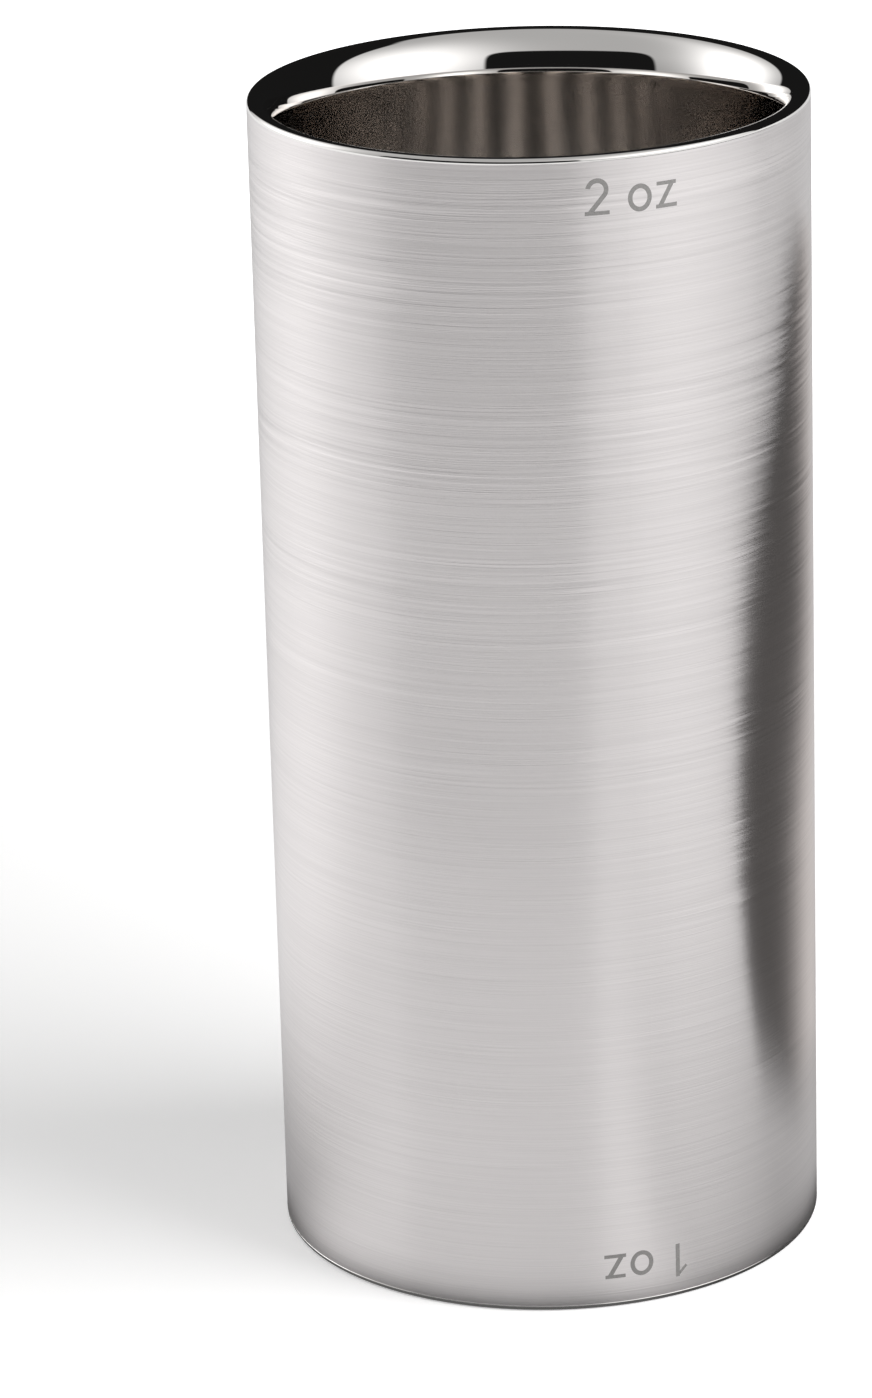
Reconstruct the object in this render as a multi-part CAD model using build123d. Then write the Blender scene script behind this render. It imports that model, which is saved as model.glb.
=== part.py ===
from build123d import *
import math
import os

# Bar jigger: a brushed steel tube with a drawn and polished steel cup let into each end.
# The upper cup holds two fluid ounces and the lower cup one. Each cup hangs from a flange
# that sits on the end of the tube, and sealed air is left between the two cup floors.
# Millimetres, +Z up along the tube. The origin is the centre of the ring that it stands on.
# Azimuths turn about Z from the front (-Y) towards +X.

# overall
OUTER_DIAMETER = 48.0
HEIGHT = 103.0

# sheet metal
SLEEVE_WALL = 0.6
CUP_SHEET = 0.5

# rim, the same at both ends
RIM_EDGE_RADIUS = 0.4
RIM_LAND = 0.2
LIP_WIDTH = 2.3
LIP_DEPTH = 4.5

# cups, filled to the brim
FLUID_OUNCE = 29573.5
TWO_OUNCE_VOLUME = 2 * FLUID_OUNCE
ONE_OUNCE_VOLUME = 1 * FLUID_OUNCE
CUP_CORNER_RADIUS = 1.0

# capacity marks, filled laser engraving
ENGRAVING_DEPTH = 0.1
FIGURE_HEIGHT = 3.1
SMALL_LETTER_HEIGHT = 2.25
STROKE = 0.4
THIN_STROKE = 0.33
MARK_AZIMUTH = 20.3
BASELINE_INSET = 5.0
TWO_LEFT = -4.08
ONE_RIGHT = -2.55
LETTER_O_LEFT = -0.4
LETTER_Z_LEFT = 2.1

# worked out from the values above
OUTER_RADIUS = OUTER_DIAMETER / 2
SLEEVE_BORE_RADIUS = OUTER_RADIUS - SLEEVE_WALL
SLEEVE_LENGTH = HEIGHT - 2 * CUP_SHEET
LAND_OUTER_RADIUS = OUTER_RADIUS - RIM_EDGE_RADIUS
LAND_INNER_RADIUS = LAND_OUTER_RADIUS - RIM_LAND
CUP_INNER_RADIUS = LAND_INNER_RADIUS - LIP_WIDTH
CUP_OUTER_RADIUS = CUP_INNER_RADIUS + CUP_SHEET


def quarter_ring_volume(middle_radius, reach, height):
    """Volume inside a quarter ellipse turned about the axis, reaching out from middle_radius."""
    disc = middle_radius**2
    band = 2 * middle_radius * reach * math.pi / 4
    tip = reach**2 * 2 / 3
    return math.pi * height * (disc + band + tip)


def cup_depth(volume):
    """Depth from the brim to the flat floor of a cup that holds this volume."""
    lip = quarter_ring_volume(LAND_INNER_RADIUS, -LIP_WIDTH, LIP_DEPTH)
    corner = quarter_ring_volume(
        CUP_INNER_RADIUS - CUP_CORNER_RADIUS, CUP_CORNER_RADIUS, CUP_CORNER_RADIUS
    )
    straight = (volume - lip - corner) / (math.pi * CUP_INNER_RADIUS**2)
    return LIP_DEPTH + straight + CUP_CORNER_RADIUS


def cup(depth):
    """A drawn cup with its mouth up and its rim's land at Z 0."""
    floor_radius = CUP_INNER_RADIUS - CUP_CORNER_RADIUS
    corner_z = CUP_CORNER_RADIUS - depth
    lip_centre = (LAND_INNER_RADIUS, -LIP_DEPTH)
    corner_centre = (floor_radius, corner_z)
    edge_centre = (LAND_OUTER_RADIUS, -RIM_EDGE_RADIUS)

    # the side that shows, from the middle of the floor up and over the rim
    floor = Line((0, -depth), (floor_radius, -depth))
    corner = CenterArc(corner_centre, CUP_CORNER_RADIUS, -90, 90)
    wall = Line((CUP_INNER_RADIUS, corner_z), (CUP_INNER_RADIUS, -LIP_DEPTH))
    lip = EllipticalCenterArc(lip_centre, LIP_WIDTH, LIP_DEPTH, 90, arc_size=90)
    land = Line((LAND_INNER_RADIUS, 0), (LAND_OUTER_RADIUS, 0))
    edge = CenterArc(edge_centre, RIM_EDGE_RADIUS, 0, 90)

    # the hidden side, one sheet thickness behind it
    flange_end = Line((OUTER_RADIUS, -RIM_EDGE_RADIUS), (OUTER_RADIUS, -CUP_SHEET))
    seat = Line((OUTER_RADIUS, -CUP_SHEET), (LAND_INNER_RADIUS, -CUP_SHEET))
    under_lip = EllipticalCenterArc(
        lip_centre, LIP_WIDTH - CUP_SHEET, LIP_DEPTH - CUP_SHEET, 90, arc_size=90
    )
    back = Line((CUP_OUTER_RADIUS, -LIP_DEPTH), (CUP_OUTER_RADIUS, corner_z))
    back_corner = CenterArc(corner_centre, CUP_CORNER_RADIUS + CUP_SHEET, -90, 90)
    underside = Line((floor_radius, -depth - CUP_SHEET), (0, -depth - CUP_SHEET))
    middle = Line((0, -depth - CUP_SHEET), (0, -depth))

    shown = [floor, corner, wall, lip, land, edge]
    hidden = [flange_end, seat, under_lip, back, back_corner, underside, middle]
    section = make_face(shown + hidden)
    return revolve(Plane.XZ * section, Axis.Z)


def stroke(start, end, width, square_end=False):
    """A straight stroke, width measured across it. It starts level, and ends level or square."""
    run = end[0] - start[0]
    rise = end[1] - start[1]
    length = math.hypot(run, rise)
    level = (width / 2 * length / rise, 0)
    square = (width / 2 * rise / length, -width / 2 * run / length)
    tip = square if square_end else level
    corners = [
        (start[0] - level[0], start[1]),
        (start[0] + level[0], start[1]),
        (end[0] + tip[0], end[1] + tip[1]),
        (end[0] - tip[0], end[1] - tip[1]),
    ]
    return make_face(Polyline(*corners, close=True))


def bar(left, right, bottom, top):
    """An upright rectangle given by its sides."""
    return Pos((left + right) / 2, (bottom + top) / 2) * Rectangle(right - left, top - bottom)


def bow(centre, radius, start_angle, end_angle, width):
    """A stroke that follows part of a circle."""
    arc_size = end_angle - start_angle
    outer = CenterArc(centre, radius + width / 2, start_angle, arc_size)
    inner = CenterArc(centre, radius - width / 2, start_angle, arc_size)
    ends = [Line(outer @ 0, inner @ 0), Line(outer @ 1, inner @ 1)]
    return make_face([outer, inner] + ends)


def figure_two(left):
    """The figure 2: a hook, a slanted stroke that runs off it, and a foot."""
    width = 2.1
    bow_width = 1.95
    foot_inset = 0.24
    hook_end_angle = 170
    radius = (bow_width - STROKE) / 2
    centre = (left + width / 2, FIGURE_HEIGHT - STROKE / 2 - radius)
    foot = (left + foot_inset, 0)
    across = centre[0] - foot[0]
    up = centre[1] - foot[1]
    # the slanted stroke's middle line touches the bow's
    slope = math.atan2(up, across) - math.asin(radius / math.hypot(across, up))
    touch = slope - math.pi / 2
    shoulder = (centre[0] + radius * math.cos(touch), centre[1] + radius * math.sin(touch))
    hook = bow(centre, radius, math.degrees(touch), hook_end_angle, STROKE)
    slant = stroke(foot, shoulder, STROKE, square_end=True)
    return hook + slant + bar(left, left + width, 0, THIN_STROKE)


def figure_one(right):
    """The figure 1: an upright with a short flag."""
    flag_width = 0.27
    flag_reach = 0.85
    flag_drop = 0.8
    middle = right - STROKE / 2
    upright = bar(right - STROKE, right, 0, FIGURE_HEIGHT)
    top = (middle, FIGURE_HEIGHT - flag_width / 2)
    tip = (top[0] - flag_reach, top[1] - flag_drop)
    return upright + stroke(top, tip, flag_width, square_end=True)


def letter_o(left):
    """The small letter o, a little taller than the z at both ends."""
    half_width = 1.06
    overshoot = 0.05
    half_height = SMALL_LETTER_HEIGHT / 2 + overshoot
    ring = Ellipse(half_width, half_height) - Ellipse(half_width - STROKE, half_height - STROKE)
    return Pos(left + half_width, SMALL_LETTER_HEIGHT / 2) * ring


def letter_z(left):
    """The small letter z."""
    width = 1.95
    top_inset = 0.07
    slant_inset = 0.27
    top = bar(
        left + top_inset,
        left + width - top_inset,
        SMALL_LETTER_HEIGHT - THIN_STROKE,
        SMALL_LETTER_HEIGHT,
    )
    bottom = bar(left, left + width, 0, THIN_STROKE)
    slant_top = (left + width - slant_inset - top_inset, SMALL_LETTER_HEIGHT)
    slant = stroke((left + slant_inset, 0), slant_top, STROKE)
    return top + bottom + slant


def capacity_letters(figure):
    """A figure and the letters oz after it, standing on Y 0, with the middle of 2 oz at X 0."""
    return [figure, letter_o(LETTER_O_LEFT), letter_z(LETTER_Z_LEFT)]


def engraving(letters, baseline, turn):
    """The letters wrapped on the tube and sunk into it, one solid for each letter."""
    skin = Cylinder(OUTER_RADIUS, HEIGHT) - Cylinder(OUTER_RADIUS - ENGRAVING_DEPTH, HEIGHT)
    skin = Pos(0, 0, HEIGHT / 2) * skin
    solids = []
    for letter in letters:
        middle = letter.bounding_box().center().X
        along = middle * math.cos(math.radians(turn)) / OUTER_RADIUS
        azimuth = math.radians(MARK_AZIMUTH) + along
        tangent_plane = Plane(
            origin=(0, 0, baseline),
            x_dir=(math.cos(azimuth), math.sin(azimuth), 0),
            z_dir=(math.sin(azimuth), -math.cos(azimuth), 0),
        )
        outline = tangent_plane * Rot(0, 0, turn) * Pos(-middle, 0) * letter
        solids += (extrude(outline, OUTER_RADIUS + 1) & skin).solids()
    return solids


def sleeve(engravings):
    """The brushed tube between the two flanges, with a shallow pocket for each letter."""
    tube = Cylinder(OUTER_RADIUS, SLEEVE_LENGTH) - Cylinder(SLEEVE_BORE_RADIUS, SLEEVE_LENGTH)
    tube = Pos(0, 0, HEIGHT / 2) * tube
    for letter in engravings:
        tube = tube - letter
    return tube


two_ounce_depth = cup_depth(TWO_OUNCE_VOLUME)
one_ounce_depth = cup_depth(ONE_OUNCE_VOLUME)
two_ounce_letters = engraving(capacity_letters(figure_two(TWO_LEFT)), HEIGHT - BASELINE_INSET, 0)
one_ounce_letters = engraving(capacity_letters(figure_one(ONE_RIGHT)), BASELINE_INSET, 180)

nodes = {
    "outer_sleeve": sleeve(two_ounce_letters + one_ounce_letters),
    "two_ounce_cup": Pos(0, 0, HEIGHT) * cup(two_ounce_depth),
    "one_ounce_cup": Rot(180, 0, 0) * cup(one_ounce_depth),
    "two_ounce_mark": Compound(two_ounce_letters),
    "one_ounce_mark": Compound(one_ounce_letters),
}

os.makedirs("parts", exist_ok=True)
for name, shape in nodes.items():
    export_step(shape, f"parts/{name}.step")

print(f"two ounce cup depth {two_ounce_depth:.2f} mm, one ounce cup depth {one_ounce_depth:.2f} mm")
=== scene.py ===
import math

import bpy
from mathutils import Matrix, Vector


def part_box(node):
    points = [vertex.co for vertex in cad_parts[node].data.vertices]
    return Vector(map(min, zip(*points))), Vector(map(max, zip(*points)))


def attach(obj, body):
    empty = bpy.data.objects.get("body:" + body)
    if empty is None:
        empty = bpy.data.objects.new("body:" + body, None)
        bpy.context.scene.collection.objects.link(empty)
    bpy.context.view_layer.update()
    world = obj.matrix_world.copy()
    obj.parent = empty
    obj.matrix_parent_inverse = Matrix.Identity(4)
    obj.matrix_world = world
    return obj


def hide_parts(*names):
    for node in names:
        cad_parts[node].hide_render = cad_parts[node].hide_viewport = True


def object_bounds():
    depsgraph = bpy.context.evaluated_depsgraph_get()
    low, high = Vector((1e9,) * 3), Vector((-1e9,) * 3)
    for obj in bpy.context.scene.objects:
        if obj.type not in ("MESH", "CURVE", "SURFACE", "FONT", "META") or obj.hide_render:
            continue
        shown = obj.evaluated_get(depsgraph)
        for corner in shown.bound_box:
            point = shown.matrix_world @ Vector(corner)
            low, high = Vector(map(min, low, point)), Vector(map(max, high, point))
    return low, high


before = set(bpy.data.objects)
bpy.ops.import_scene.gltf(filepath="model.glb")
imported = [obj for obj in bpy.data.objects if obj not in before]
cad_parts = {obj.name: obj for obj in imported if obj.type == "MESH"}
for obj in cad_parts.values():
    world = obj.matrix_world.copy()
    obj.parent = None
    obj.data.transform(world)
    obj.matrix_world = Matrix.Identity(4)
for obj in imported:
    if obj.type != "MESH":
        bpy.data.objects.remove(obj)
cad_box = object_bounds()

# Bar jigger on a white studio floor. Metres, +Z up, the camera looks along +Y.
# Azimuths turn about Z from the camera's side (-Y) towards +X. All angles are in degrees.

BASE = cad_box[0].z
TOP = cad_box[1].z
HEIGHT = TOP - BASE
RADIUS = (cad_box[1].x - cad_box[0].x) / 2

# cups and rims, the same sizes as the CAD cups
CUP_SHEET = 0.0005
RIM_EDGE_RADIUS = 0.0004
RIM_LAND = 0.0002
LIP_WIDTH = 0.0023
LIP_DEPTH = 0.0045
CUP_CORNER_RADIUS = 0.001
TWO_OUNCE_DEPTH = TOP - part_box("two_ounce_cup")[0].z - CUP_SHEET
ONE_OUNCE_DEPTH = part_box("one_ounce_cup")[1].z - CUP_SHEET - BASE
STEPS_ROUND = 384

# camera, a long lens a little above the rim and tilted slightly
CAMERA_DISTANCE = 0.4928
CAMERA_HEIGHT = 0.22255
CAMERA_PITCH = 19.48
CAMERA_YAW = -1.077
CAMERA_ROLL = -1.593
CAMERA_LENS_MM = 152.83
SENSOR_MM = 36.0

# world: each glow's centre and spread as (azimuth, elevation), and its level
LEFT_GLOW = ((-113, 13), (18, 20), 2.2)
RIGHT_GLOW = ((60, 17), (27, 21), 1.6)
DOME_ELEVATIONS = (-5, 25)
DOME_LEVELS = (0.45, 0.60)
# world: each dark gap's centre and half size, the back one measured from straight behind
FRONT_GAP = ((-21, 0), (41, 29))
BACK_GAP = ((-25, 0), (53, 62))
GAP_CORNER_POWER = 7.0
GAP_EDGE = 0.03
GAP_LEVEL = 0.012
WORLD_LEVEL = 0.77
WORLD_COLOUR = (1.0, 0.995, 0.99, 1.0)
BACKDROP_LEVEL = 1.2

# key light
KEY_POWER = 3.2
KEY_SIZE = (0.5, 0.4)
KEY_AZIMUTH = 70
KEY_ELEVATION = 35
KEY_DISTANCE = 0.6
KEY_AIM_HEIGHT = 0.03

# floor, as the camera sees it: painted light, a glow that is weaker near the tube and stronger far
# away
FLOOR_HALF_WIDTH = 4.0
FLOOR_WHITE = 0.9
FLOOR_GLOW = 0.30
FAR_FLOOR_GLOW = 1.0
GLOW_DISTANCES = (0.12, 0.4)

# floor, as the steel sees it, a painted reflection: the level on each side
FRONT_FLOOR = 0.97
LEFT_FLOOR = 1.0
RIGHT_FLOOR = 0.95
BACK_FLOOR = 0.75
FAR_FRONT_FLOOR = 0.1
FAR_FRONT_DISTANCES = (0.4, 1.2)
# azimuths over which a side's level comes in, then goes out again
LEFT_SIDE = ((-170, -130), (-80, -35))
RIGHT_SIDE = ((10, 60), (110, 140))
BACK_SIDE = (100, 120)
# painted shades near the tube: azimuths, depth of the shade at each of them, distances over which it
# fades
LEFT_SHADE = ((-95, -45), (0.65, 0.0), (0.03, 0.09))
RIGHT_SHADE = ((20, 40), (0.0, 0.45), (0.035, 0.13))
# painted contact shade at the tube's foot: its level, and the gaps from the tube over which it fades
# out
CONTACT_SHADE_LEVEL = 0.12
CONTACT_SHADE_GAPS = (0.001, 0.004)

# dark card, seen only in the steel as a painted dark reflection: azimuth of the reflection, height of
# the lower and of the upper edge
CARD_OUTLINE = [
    (89, 0.032, 0.048),
    (94, 0.020, 0.060),
    (100, 0.013, 0.066),
    (114, 0.010, 0.074),
    (128, 0.008, 0.085),
    (138, 0.008, 0.088),
    (160, 0.012, 0.088),
]
CARD_DISTANCE = 0.018
CARD_BLACK = 0.01
CARD_GREY = 0.085
CARD_TINT = (1, 0.95, 0.92, 1)
# azimuths over which its right end fades out into painted floor light, and how many degrees later it
# does so higher up
CARD_FADE = (83, 106)
CARD_FADE_DELAY = 9.0
CARD_DELAY_HEIGHTS = (0.030, 0.055)


# ---------------------------------------------------------------- node helpers

def new_material(name):
    """A material with one Principled shader, and its node tree and shader."""
    material = bpy.data.materials.new(name)
    material.use_nodes = True
    tree = material.node_tree
    tree.nodes.clear()
    shader = tree.nodes.new("ShaderNodeBsdfPrincipled")
    output = tree.nodes.new("ShaderNodeOutputMaterial")
    tree.links.new(shader.outputs["BSDF"], output.inputs["Surface"])
    return material, tree, shader


def put(tree, socket, value):
    """Links a socket to another node's output, or sets its plain value."""
    if hasattr(value, "is_linked"):
        tree.links.new(value, socket)
    else:
        socket.default_value = value


def calc(tree, operation, *values):
    """A math node's result."""
    node = tree.nodes.new("ShaderNodeMath")
    node.operation = operation
    for socket, value in zip(node.inputs, values):
        put(tree, socket, value)
    return node.outputs[0]


def rise(tree, value, low, high, least=0.0, most=1.0):
    """least below low, most above high, and a smooth change between them."""
    node = tree.nodes.new("ShaderNodeMapRange")
    node.interpolation_type = "SMOOTHSTEP"
    node.inputs["From Min"].default_value = low
    node.inputs["From Max"].default_value = high
    node.inputs["To Min"].default_value = least
    node.inputs["To Max"].default_value = most
    put(tree, node.inputs["Value"], value)
    return node.outputs["Result"]


def blend(tree, share, first, second):
    """first where share is 0, second where it is 1."""
    change = calc(tree, "MULTIPLY", calc(tree, "SUBTRACT", second, first), share)
    return calc(tree, "ADD", first, change)


def axes(tree, kind):
    """The X, Y and Z of a kind of texture coordinate."""
    coordinates = tree.nodes.new("ShaderNodeTexCoord")
    parts = tree.nodes.new("ShaderNodeSeparateXYZ")
    tree.links.new(coordinates.outputs[kind], parts.inputs[0])
    return parts.outputs["X"], parts.outputs["Y"], parts.outputs["Z"]


def bearing(tree, across, ahead):
    """The angle of a level direction, 0 straight ahead."""
    return calc(tree, "MULTIPLY", calc(tree, "ARCTAN2", across, ahead), 180 / math.pi)


def azimuth_of(tree):
    """Azimuth about the tube's axis."""
    x, y, z = axes(tree, "Object")
    return bearing(tree, x, calc(tree, "MULTIPLY", y, -1.0))


def distance_of(tree):
    """Distance from the tube's axis."""
    x, y, z = axes(tree, "Object")
    square = calc(tree, "ADD", calc(tree, "MULTIPLY", x, x), calc(tree, "MULTIPLY", y, y))
    return calc(tree, "SQRT", square)


def height_of(tree):
    """Height above the floor."""
    x, y, z = axes(tree, "Object")
    return calc(tree, "SUBTRACT", z, BASE)


def choice(tree, ray_kind, otherwise, chosen, output):
    """Shows rays of one kind the chosen shader, and all others the other one."""
    ray = tree.nodes.new("ShaderNodeLightPath")
    choose = tree.nodes.new("ShaderNodeMixShader")
    tree.links.new(ray.outputs[ray_kind], choose.inputs[0])
    tree.links.new(otherwise, choose.inputs[1])
    tree.links.new(chosen, choose.inputs[2])
    tree.links.new(choose.outputs[0], output.inputs["Surface"])


# ---------------------------------------------------------------- studio

def add_object(name, vertices, faces, material):
    mesh = bpy.data.meshes.new(name)
    mesh.from_pydata(vertices, [], faces)
    mesh.materials.append(material)
    thing = bpy.data.objects.new(name, mesh)
    bpy.context.scene.collection.objects.link(thing)
    return thing


def glow(tree, azimuth, elevation, centre, spread, level):
    """A soft light with no edges, brightest at its centre."""
    across = calc(tree, "DIVIDE", calc(tree, "SUBTRACT", azimuth, centre[0]), spread[0])
    up = calc(tree, "DIVIDE", calc(tree, "SUBTRACT", elevation, centre[1]), spread[1])
    square_across = calc(tree, "MULTIPLY", across, across)
    square_up = calc(tree, "MULTIPLY", up, up)
    square = calc(tree, "ADD", square_across, square_up)
    fall = calc(tree, "EXPONENT", calc(tree, "MULTIPLY", square, -0.5))
    return calc(tree, "MULTIPLY", fall, level)


def gap(tree, azimuth, elevation, centre, half_size):
    """1 inside a rectangle of directions with rounded corners, 0 outside it."""
    across = calc(tree, "DIVIDE", calc(tree, "SUBTRACT", azimuth, centre[0]), half_size[0])
    up = calc(tree, "DIVIDE", calc(tree, "SUBTRACT", elevation, centre[1]), half_size[1])
    across = calc(tree, "POWER", calc(tree, "ABSOLUTE", across), GAP_CORNER_POWER)
    up = calc(tree, "POWER", calc(tree, "ABSOLUTE", up), GAP_CORNER_POWER)
    reach = calc(tree, "POWER", calc(tree, "ADD", across, up), 1 / GAP_CORNER_POWER)
    return rise(tree, reach, 1 - GAP_EDGE, 1 + GAP_EDGE, 1.0, 0.0)


def make_world():
    """Lights round the object, painted by direction. The camera itself sees plain white."""
    world = bpy.data.worlds.new("studio")
    bpy.context.scene.world = world
    world.use_nodes = True
    tree = world.node_tree
    tree.nodes.clear()
    x, y, z = axes(tree, "Generated")
    azimuth = bearing(tree, x, calc(tree, "MULTIPLY", y, -1.0))
    behind = bearing(tree, calc(tree, "MULTIPLY", x, -1.0), y)
    elevation = calc(tree, "MULTIPLY", calc(tree, "ARCSINE", z), 180 / math.pi)

    dome = rise(tree, elevation, *DOME_ELEVATIONS, *DOME_LEVELS)
    left = glow(tree, azimuth, elevation, *LEFT_GLOW)
    right = glow(tree, azimuth, elevation, *RIGHT_GLOW)
    light = calc(tree, "ADD", dome, calc(tree, "ADD", left, right))

    front_gap = gap(tree, azimuth, elevation, *FRONT_GAP)
    back_gap = gap(tree, behind, elevation, *BACK_GAP)
    dark = calc(tree, "MAXIMUM", front_gap, back_gap)
    light = calc(tree, "MULTIPLY", light, calc(tree, "SUBTRACT", 1.0, dark))
    light = calc(tree, "MAXIMUM", light, GAP_LEVEL)
    light = calc(tree, "MULTIPLY", light, WORLD_LEVEL)

    lamp = tree.nodes.new("ShaderNodeBackground")
    lamp.inputs["Color"].default_value = WORLD_COLOUR
    tree.links.new(light, lamp.inputs["Strength"])
    backdrop = tree.nodes.new("ShaderNodeBackground")
    backdrop.inputs["Color"].default_value = (1, 1, 1, 1)
    backdrop.inputs["Strength"].default_value = BACKDROP_LEVEL
    output = tree.nodes.new("ShaderNodeOutputWorld")
    choice(tree, "Is Camera Ray", lamp.outputs[0], backdrop.outputs[0], output)


def side(tree, azimuth, come_in, go_out):
    """1 over a stretch of azimuths, 0 outside it, with smooth ends."""
    return calc(
        tree, "MULTIPLY", rise(tree, azimuth, *come_in), rise(tree, azimuth, *go_out, 1.0, 0.0)
    )


def near_shade(tree, azimuth, distance, azimuths, depths, distances):
    """A painted shade that changes with the azimuth and fades out away from the tube."""
    depth = rise(tree, azimuth, *azimuths, *depths)
    return calc(tree, "MULTIPLY", depth, rise(tree, distance, *distances, 1.0, 0.0))


def floor_light(tree):
    """Painted reflection: how bright the floor looks in the steel. Each side has its level, and a
    painted shade near the tube.
    """
    azimuth = azimuth_of(tree)
    distance = distance_of(tree)
    light = rise(tree, distance, *FAR_FRONT_DISTANCES, FRONT_FLOOR, FAR_FRONT_FLOOR)
    back_side = rise(tree, calc(tree, "ABSOLUTE", azimuth), *BACK_SIDE)
    light = blend(tree, back_side, light, BACK_FLOOR)
    light = blend(tree, side(tree, azimuth, *LEFT_SIDE), light, LEFT_FLOOR)
    light = blend(tree, side(tree, azimuth, *RIGHT_SIDE), light, RIGHT_FLOOR)
    left_shade = near_shade(tree, azimuth, distance, *LEFT_SHADE)
    right_shade = near_shade(tree, azimuth, distance, *RIGHT_SHADE)
    shaded = calc(tree, "ADD", left_shade, right_shade)
    light = calc(tree, "MULTIPLY", light, calc(tree, "SUBTRACT", 1.0, shaded))
    # painted contact shade: in the steel the floor is dark right next to the tube
    contact_shade_start = RADIUS + CONTACT_SHADE_GAPS[0]
    contact_shade_end = RADIUS + CONTACT_SHADE_GAPS[1]
    contact_shade = rise(tree, distance, contact_shade_start, contact_shade_end, CONTACT_SHADE_LEVEL, 1.0)
    return calc(tree, "MULTIPLY", light, contact_shade)


def make_floor():
    """A white floor with a painted glow that is weaker near the tube. The steel sees it with painted
    levels of its own.
    """
    material, tree, shader = new_material("floor_white")
    shader.inputs["Base Color"].default_value = (FLOOR_WHITE, FLOOR_WHITE, FLOOR_WHITE, 1)
    shader.inputs["Roughness"].default_value = 1.0
    shader.inputs["Specular IOR Level"].default_value = 0.0
    shader.inputs["Emission Color"].default_value = (1, 1, 1, 1)
    # painted light: the floor's glow rises away from the tube
    glow_level = rise(tree, distance_of(tree), *GLOW_DISTANCES, FLOOR_GLOW, FAR_FLOOR_GLOW)
    tree.links.new(glow_level, shader.inputs["Emission Strength"])
    # glossy rays see the floor's painted reflection levels instead of its lit white
    in_steel = tree.nodes.new("ShaderNodeEmission")
    tree.links.new(floor_light(tree), in_steel.inputs["Strength"])
    output = next(node for node in tree.nodes if node.type == "OUTPUT_MATERIAL")
    choice(tree, "Is Glossy Ray", shader.outputs["BSDF"], in_steel.outputs[0], output)
    half = FLOOR_HALF_WIDTH
    corners = [(-half, -half, BASE), (half, -half, BASE), (half, half, BASE), (-half, half, BASE)]
    floor = add_object("floor", corners, [(0, 1, 2, 3)], material)


def card_point(azimuth, height):
    """Where a reflection that leaves the tube at this azimuth meets the card."""
    turn = math.radians(azimuth)
    x = RADIUS * math.sin(turn / 2) + CARD_DISTANCE * math.sin(turn)
    y = -RADIUS * math.cos(turn / 2) - CARD_DISTANCE * math.cos(turn)
    return x, y, BASE + height


def make_dark_card():
    """A dark curved card close to the tube at the right and behind. Only the steel sees it: a painted
    dark reflection, glowing grey and rising to the back floor's level at its right end.
    """
    material, tree, shader = new_material("card_black")
    shader.inputs["Base Color"].default_value = (CARD_BLACK, CARD_BLACK, CARD_BLACK, 1)
    shader.inputs["Roughness"].default_value = 1.0
    shader.inputs["Specular IOR Level"].default_value = 0.0
    shader.inputs["Emission Color"].default_value = CARD_TINT
    # painted reflection: the card's glow goes from grey up to the back floor's level
    delay = rise(tree, height_of(tree), *CARD_DELAY_HEIGHTS, 0.0, CARD_FADE_DELAY)
    fade_azimuth = calc(tree, "SUBTRACT", azimuth_of(tree), delay)
    level = rise(tree, fade_azimuth, *CARD_FADE, CARD_GREY, BACK_FLOOR)
    tree.links.new(level, shader.inputs["Emission Strength"])
    lower = [card_point(azimuth, low) for azimuth, low, high in CARD_OUTLINE]
    upper = [card_point(azimuth, high) for azimuth, low, high in CARD_OUTLINE]
    count = len(CARD_OUTLINE)
    faces = [(i, i + 1, count + i + 1, count + i) for i in range(count - 1)]
    card = add_object("dark_card", lower + upper, faces, material)
    card.visible_camera = False
    card.visible_diffuse = False
    card.visible_shadow = False


def make_key_light():
    """A large soft light at the right and a little in front, which throws the shadow to the left."""
    data = bpy.data.lights.new("key", "AREA")
    data.shape = "RECTANGLE"
    data.size = KEY_SIZE[0]
    data.size_y = KEY_SIZE[1]
    data.energy = KEY_POWER
    light = bpy.data.objects.new("key", data)
    azimuth = math.radians(KEY_AZIMUTH)
    elevation = math.radians(KEY_ELEVATION)
    level_distance = KEY_DISTANCE * math.cos(elevation)
    light.location = (
        level_distance * math.sin(azimuth),
        -level_distance * math.cos(azimuth),
        BASE + KEY_DISTANCE * math.sin(elevation),
    )
    aim = Vector((0, 0, BASE + KEY_AIM_HEIGHT)) - light.location
    light.rotation_mode = "QUATERNION"
    light.rotation_quaternion = aim.to_track_quat("-Z", "Y")
    light.visible_glossy = False
    bpy.context.scene.collection.objects.link(light)


def make_camera():
    data = bpy.data.cameras.new("camera")
    data.lens = CAMERA_LENS_MM
    data.sensor_width = SENSOR_MM
    data.clip_start = 0.01
    data.clip_end = 20.0
    camera = bpy.data.objects.new("camera", data)
    pitch = math.radians(CAMERA_PITCH)
    yaw = math.radians(CAMERA_YAW)
    roll = math.radians(CAMERA_ROLL)
    ahead = Vector((
        math.sin(yaw) * math.cos(pitch),
        math.cos(yaw) * math.cos(pitch),
        -math.sin(pitch),
    ))
    level_right = Vector((math.cos(yaw), -math.sin(yaw), 0))
    level_up = level_right.cross(ahead)
    right = level_right * math.cos(roll) + level_up * math.sin(roll)
    up = level_up * math.cos(roll) - level_right * math.sin(roll)
    turn = Matrix((right, up, -ahead)).transposed()
    place = Vector((0, -CAMERA_DISTANCE, BASE + CAMERA_HEIGHT))
    camera.matrix_world = Matrix.Translation(place) @ turn.to_4x4()
    bpy.context.scene.collection.objects.link(camera)
    bpy.context.scene.camera = camera


# ---------------------------------------------------------------- finishes

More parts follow.
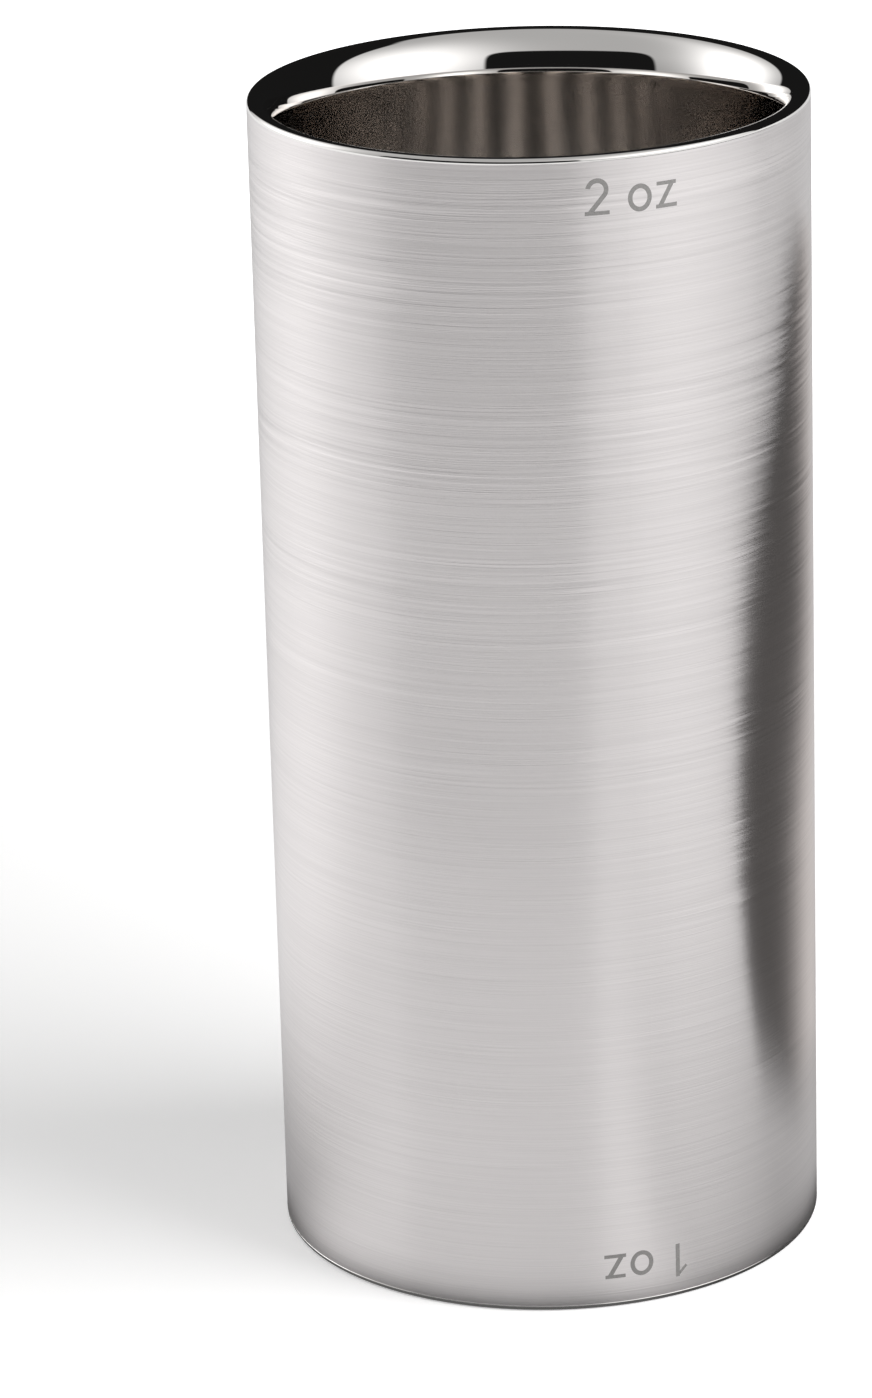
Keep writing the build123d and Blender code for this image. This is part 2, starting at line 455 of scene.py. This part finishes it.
def noise(tree, across, along, detail=2.0, roughness=0.5):
    """Noise with this many features per metre across the tube, and along its axis."""
    coordinates = tree.nodes.new("ShaderNodeTexCoord")
    mapping = tree.nodes.new("ShaderNodeMapping")
    mapping.inputs["Scale"].default_value = (across, across, along)
    tree.links.new(coordinates.outputs["Object"], mapping.inputs["Vector"])
    node = tree.nodes.new("ShaderNodeTexNoise")
    node.inputs["Scale"].default_value = 1.0
    node.inputs["Detail"].default_value = detail
    node.inputs["Roughness"].default_value = roughness
    tree.links.new(mapping.outputs["Vector"], node.inputs["Vector"])
    return node.outputs["Fac"]


def tint(tree, value, dark, light):
    """A colour between two linear colours, dark at value 0 and light at 1."""
    node = tree.nodes.new("ShaderNodeMix")
    node.data_type = "RGBA"
    node.inputs[6].default_value = (*dark, 1)
    node.inputs[7].default_value = (*light, 1)
    put(tree, node.inputs[0], value)
    return node.outputs[2]


def bump(tree, shader, relief, distance):
    node = tree.nodes.new("ShaderNodeBump")
    node.inputs["Distance"].default_value = distance
    tree.links.new(relief, node.inputs["Height"])
    tree.links.new(node.outputs["Normal"], shader.inputs["Normal"])


def sideways(tree, shader, tangent, amount):
    """Tilts the bumped normal along the tube's tangent, as crooked brush lines do."""
    bumped = shader.inputs["Normal"].links[0].from_socket
    tilt = tree.nodes.new("ShaderNodeVectorMath")
    tilt.operation = "SCALE"
    tree.links.new(tangent, tilt.inputs[0])
    tree.links.new(amount, tilt.inputs["Scale"])
    total = tree.nodes.new("ShaderNodeVectorMath")
    total.operation = "ADD"
    tree.links.new(bumped, total.inputs[0])
    tree.links.new(tilt.outputs[0], total.inputs[1])
    unit = tree.nodes.new("ShaderNodeVectorMath")
    unit.operation = "NORMALIZE"
    tree.links.new(total.outputs[0], unit.inputs[0])
    tree.links.new(unit.outputs[0], shader.inputs["Normal"])


def brushed_steel():
    """Steel brushed round the tube: fine lines of uneven length, gathered in clusters."""
    hair_strength = 0.4
    line_relief = 0.00004
    crooked_tilt = 0.38
    material, tree, shader = new_material("brushed_steel")
    hair = noise(tree, 45.0, 9000.0, 2.0, 0.6)
    scratch = noise(tree, 22.0, 3600.0, 3.0, 0.65)
    crooked = noise(tree, 35.0, 3000.0, 2.0, 0.6)
    cluster = noise(tree, 12.0, 240.0)
    cloud = noise(tree, 25.0, 40.0, 1.0)

    # the clusters are strongest in the upper part of the tube
    upper = rise(tree, height_of(tree), 0.2 * HEIGHT, 0.9 * HEIGHT, 0.25, 1.0)
    cluster = calc(tree, "MULTIPLY", rise(tree, cluster, 0.35, 0.7, 0.25, 1.0), upper)
    scratch = calc(tree, "MULTIPLY", calc(tree, "SUBTRACT", scratch, 0.5), cluster)
    hair = calc(tree, "MULTIPLY", calc(tree, "SUBTRACT", hair, 0.5), hair_strength)
    lines = calc(tree, "ADD", calc(tree, "ADD", scratch, hair), 0.5)
    colour = tint(tree, rise(tree, lines, 0.2, 0.8), (0.67, 0.643, 0.641), (0.825, 0.793, 0.791))
    tree.links.new(colour, shader.inputs["Base Color"])
    shader.inputs["Metallic"].default_value = 1.0
    tree.links.new(rise(tree, cloud, 0.3, 0.7, 0.32, 0.35), shader.inputs["Roughness"])

    # highlights stretch along the axis, across the brush lines
    shader.inputs["Anisotropic"].default_value = 0.89
    shader.inputs["Anisotropic Rotation"].default_value = 0.25
    tangent = tree.nodes.new("ShaderNodeTangent")
    tangent.direction_type = "RADIAL"
    tangent.axis = "Z"
    tree.links.new(tangent.outputs[0], shader.inputs["Tangent"])
    bump(tree, shader, lines, line_relief)
    crooked = calc(tree, "MULTIPLY", calc(tree, "SUBTRACT", crooked, 0.5), cluster)
    tilt = calc(tree, "MULTIPLY", crooked, crooked_tilt)
    sideways(tree, shader, tangent.outputs[0], tilt)
    return material


def polished_steel():
    """Drawn and polished steel. The rim is a mirror, the inside a little duller, and its colour
    darker there as painted shade in the cups.
    """
    change_depth = 0.010
    inside_dullness = 0.055
    drawing_relief = 0.0000002
    material, tree, shader = new_material("polished_steel")
    drawing = noise(tree, 60.0, 3000.0)
    bloom = noise(tree, 90.0, 90.0, 3.0)

    # 0 at both rims and their lips, 1 further in
    middle = HEIGHT / 2
    from_middle = calc(tree, "ABSOLUTE", calc(tree, "SUBTRACT", height_of(tree), middle))
    lip_end = middle - LIP_DEPTH
    inside = rise(tree, from_middle, lip_end - change_depth, lip_end, 1.0, 0.0)

    # random tone, with painted shade: the colour is darker inside the cups
    tone_and_painted_shade = calc(tree, "SUBTRACT", bloom, inside)
    colour = tint(tree, tone_and_painted_shade, (0.838, 0.824, 0.812), (0.882, 0.863, 0.844))
    tree.links.new(colour, shader.inputs["Base Color"])
    shader.inputs["Metallic"].default_value = 1.0
    dull = calc(tree, "MULTIPLY", inside, inside_dullness)
    polish = calc(tree, "ADD", rise(tree, bloom, 0.3, 0.8, 0.015, 0.035), dull)
    tree.links.new(polish, shader.inputs["Roughness"])
    bump(tree, shader, drawing, drawing_relief)
    return material


def engraving():
    """Matte grey laser engraving, slightly uneven."""
    speckle_relief = 0.00001
    material, tree, shader = new_material("engraving")
    speckle = noise(tree, 9000.0, 9000.0)
    colour = tint(tree, rise(tree, speckle, 0.3, 0.7), (0.15, 0.146, 0.142), (0.20, 0.195, 0.19))
    tree.links.new(colour, shader.inputs["Base Color"])
    tree.links.new(rise(tree, speckle, 0.3, 0.7, 0.6, 0.8), shader.inputs["Roughness"])
    bump(tree, shader, speckle, speckle_relief)
    return material


# ---------------------------------------------------------------- pieces

def arc(centre, width, height, start, end, count):
    """Points on part of an ellipse as (distance from the axis, height)."""
    points = []
    for i in range(count + 1):
        angle = math.radians(start + (end - start) * i / count)
        points.append((centre[0] + width * math.cos(angle), centre[1] + height * math.sin(angle)))
    return points


def cup_profile(depth):
    """The cup's section from the middle of its floor up over the rim and back under, land at 0."""
    land_outer = RADIUS - RIM_EDGE_RADIUS
    land_inner = land_outer - RIM_LAND
    wall = land_inner - LIP_WIDTH
    floor_radius = wall - CUP_CORNER_RADIUS
    corner = (floor_radius, CUP_CORNER_RADIUS - depth)
    lip = (land_inner, -LIP_DEPTH)
    edge = (land_outer, -RIM_EDGE_RADIUS)
    back_radius = CUP_CORNER_RADIUS + CUP_SHEET

    points = [(0.0, -depth)]
    points += arc(corner, CUP_CORNER_RADIUS, CUP_CORNER_RADIUS, -90, 0, 10)
    points += arc(lip, LIP_WIDTH, LIP_DEPTH, 180, 90, 60)
    points += arc(edge, RIM_EDGE_RADIUS, RIM_EDGE_RADIUS, 90, 0, 12)
    points += [(RADIUS, -CUP_SHEET), (land_inner, -CUP_SHEET)]
    points += arc(lip, LIP_WIDTH - CUP_SHEET, LIP_DEPTH - CUP_SHEET, 90, 180, 12)[1:]
    points += arc(corner, back_radius, back_radius, 0, -90, 6)
    points += [(0.0, -depth - CUP_SHEET)]
    return points


def lathe(name, profile, rim_z, up, material):
    """Turns a section about the Z axis, with up -1 for a cup whose mouth is down.

    The section starts and ends on the axis, so the mesh is closed.
    """
    rows = profile[1:-1]
    vertices = [(0.0, 0.0, rim_z + up * profile[0][1])]
    for distance, height in rows:
        for i in range(STEPS_ROUND):
            angle = 2 * math.pi * i / STEPS_ROUND
            x = distance * math.cos(angle)
            y = up * distance * math.sin(angle)
            vertices.append((x, y, rim_z + up * height))
    vertices.append((0.0, 0.0, rim_z + up * profile[-1][1]))
    last = len(vertices) - 1
    faces = []
    for i in range(STEPS_ROUND):
        j = (i + 1) % STEPS_ROUND
        faces.append((0, 1 + i, 1 + j))
        for row in range(len(rows) - 1):
            low = 1 + row * STEPS_ROUND
            high = low + STEPS_ROUND
            faces.append((low + i, high + i, high + j, low + j))
        top = 1 + (len(rows) - 1) * STEPS_ROUND
        faces.append((top + i, last, top + j))
    piece = add_object(name, vertices, faces, material)
    piece.data.validate()
    piece.data.polygons.foreach_set("use_smooth", [True] * len(piece.data.polygons))
    return piece


def make_cup(name, node, rim_z, up, depth, material):
    """A finely turned cup in place of the CAD one."""
    piece = lathe(name, cup_profile(depth), rim_z, up, material)
    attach(piece, "root")
    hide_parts(node)


def dress(node, material):
    """Gives a CAD node its finish."""
    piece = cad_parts[node]
    piece.data.materials.clear()
    piece.data.materials.append(material)


scene = bpy.context.scene
scene.view_settings.view_transform = "Standard"
scene.view_settings.look = "None"
# light goes to and fro in the cups many times
scene.cycles.max_bounces = 24
scene.cycles.glossy_bounces = 24

make_world()
make_floor()
make_dark_card()
make_key_light()
make_camera()

brushed = brushed_steel()
polished = polished_steel()
engraved = engraving()
dress("outer_sleeve", brushed)
make_cup("two_ounce_cup_shell", "two_ounce_cup", TOP, 1, TWO_OUNCE_DEPTH, polished)
make_cup("one_ounce_cup_shell", "one_ounce_cup", BASE, -1, ONE_OUNCE_DEPTH, polished)
dress("two_ounce_mark", engraved)
dress("one_ounce_mark", engraved)
